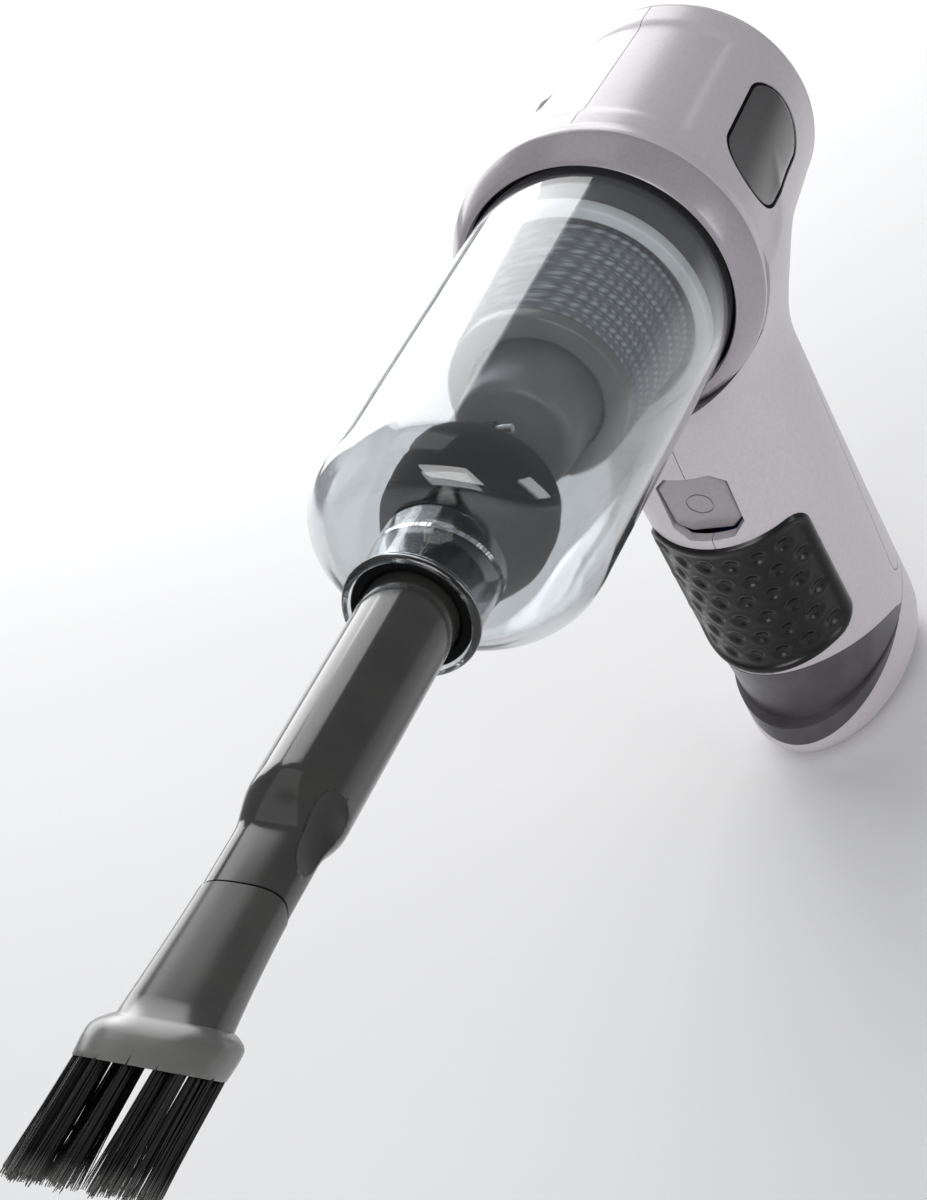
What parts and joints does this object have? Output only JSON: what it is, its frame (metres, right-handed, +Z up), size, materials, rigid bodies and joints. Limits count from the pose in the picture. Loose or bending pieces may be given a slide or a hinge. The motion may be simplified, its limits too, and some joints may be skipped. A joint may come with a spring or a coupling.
{
  "type": "handheld vacuum",
  "caption": "Cordless pistol-grip handheld vacuum with a clear dust cup, a pleated filter inside and a long round nozzle ending in a slanted dusting brush.",
  "frame": {"origin": "middle of the handle's flat base, on the ground when the vacuum stands up", "axes": "+X forward along the barrel towards the nozzle, +Y the user's left, +Z up"},
  "size_m": [0.3661, 0.0662, 0.1721],
  "materials": {
    "housing_plastic": "pearl silver, fine metallic flake under gloss",
    "collar_plastic": "darker pearl silver, gloss",
    "clear_plastic": "clear polycarbonate, polished",
    "smoked_plastic": "smoked, polished",
    "pad_rubber": "soft, glossy black",
    "black_rubber": "moulded, semi-gloss",
    "grey_plastic": "satin grey",
    "dark_plastic": "satin dark grey",
    "white_plastic": "satin",
    "filter_paper": "pleated filter paper",
    "foam": "open-cell foam",
    "bristle_fibre": "black nylon fibre",
    "steel": "turned and plated",
    "laminate_steel": "stacked laminations",
    "copper": "enamelled windings",
    "circuit_board": "solder-mask green",
    "cell_sleeve": "shrink sleeve"
  },
  "bodies": {
    "housing": {"shell_left": "housing_plastic", "shell_right": "housing_plastic", "front_collar": "collar_plastic", "rear_cap": "housing_plastic", "end_cap": "housing_plastic", "grip_pad": "pad_rubber", "tact_switch": "dark_plastic", "main_board": "circuit_board", "window_left": "smoked_plastic", "window_right": "smoked_plastic", "shell_screws": "steel", "battery_cell_front": "cell_sleeve", "battery_cell_rear": "cell_sleeve", "battery_tray": "dark_plastic", "nickel_strips": "steel", "charge_board": "circuit_board", "usb_socket": "steel", "motor_can": "steel", "stator": "copper", "bearing_front": "steel", "bearing_rear": "steel", "fan_shroud": "dark_plastic", "motor_mount_front": "black_rubber", "motor_mount_rear": "black_rubber", "exhaust_foam": "foam", "intake_bulkhead": "dark_plastic"},
    "battery_cover": {"battery_cover": "housing_plastic"},
    "power_button": {"power_button": "housing_plastic"},
    "rotor": {"rotor_shaft": "steel", "rotor_core": "laminate_steel", "impeller": "white_plastic"},
    "filter": {"filter_seal": "black_rubber", "filter_cage": "grey_plastic", "pleated_filter": "filter_paper", "filter_cap": "dark_plastic"},
    "dust_cup": {"dust_cup": "clear_plastic", "cup_seal": "black_rubber", "inlet_duct": "black_rubber", "flap_pin": "steel", "port_sleeve": "clear_plastic"},
    "inlet_flap": {"inlet_flap": "black_rubber"},
    "nozzle_socket": {"socket_ring": "black_rubber"},
    "nozzle": {"nozzle_tube": "grey_plastic"},
    "brush": {"brush_head": "grey_plastic", "bristles": "bristle_fibre"}
  },
  "joints": [
    {"name": "power_button_press", "type": "slide", "parent": "housing", "child": "power_button", "axis": [-0.9571, 0, 0.2899], "range_m": [0, 0.0012], "stiffness_N_per_m": 900},
    {"name": "battery_cover_pull", "type": "slide", "parent": "housing", "child": "battery_cover", "axis": [-0.9571, 0, 0.2899], "range_m": [0, 0.015]},
    {"name": "rotor_spin", "type": "hinge", "parent": "housing", "child": "rotor", "pos_m": [0.02, 0, 0.139], "axis": [1, 0, 0], "continuous": true},
    {"name": "filter_pull", "type": "slide", "parent": "housing", "child": "filter", "axis": [1, 0, 0], "range_m": [0, 0.012]},
    {"name": "dust_cup_pull", "type": "slide", "parent": "housing", "child": "dust_cup", "axis": [1, 0, 0], "range_m": [0, 0.075]},
    {"name": "inlet_flap_swing", "type": "hinge", "parent": "dust_cup", "child": "inlet_flap", "pos_m": [0.1379, 0, 0.1509], "axis": [0, 1, 0], "range_deg": [0, 40]},
    {"name": "nozzle_twist", "type": "hinge", "parent": "dust_cup", "child": "nozzle_socket", "pos_m": [0.17, 0, 0.139], "axis": [1, 0, 0], "continuous": true},
    {"name": "nozzle_pull", "type": "slide", "parent": "nozzle_socket", "child": "nozzle", "axis": [1, 0, 0], "range_m": [0, 0.014]},
    {"name": "brush_pull", "type": "slide", "parent": "nozzle", "child": "brush", "axis": [1, 0, 0], "range_m": [0, 0.03]}
  ]
}
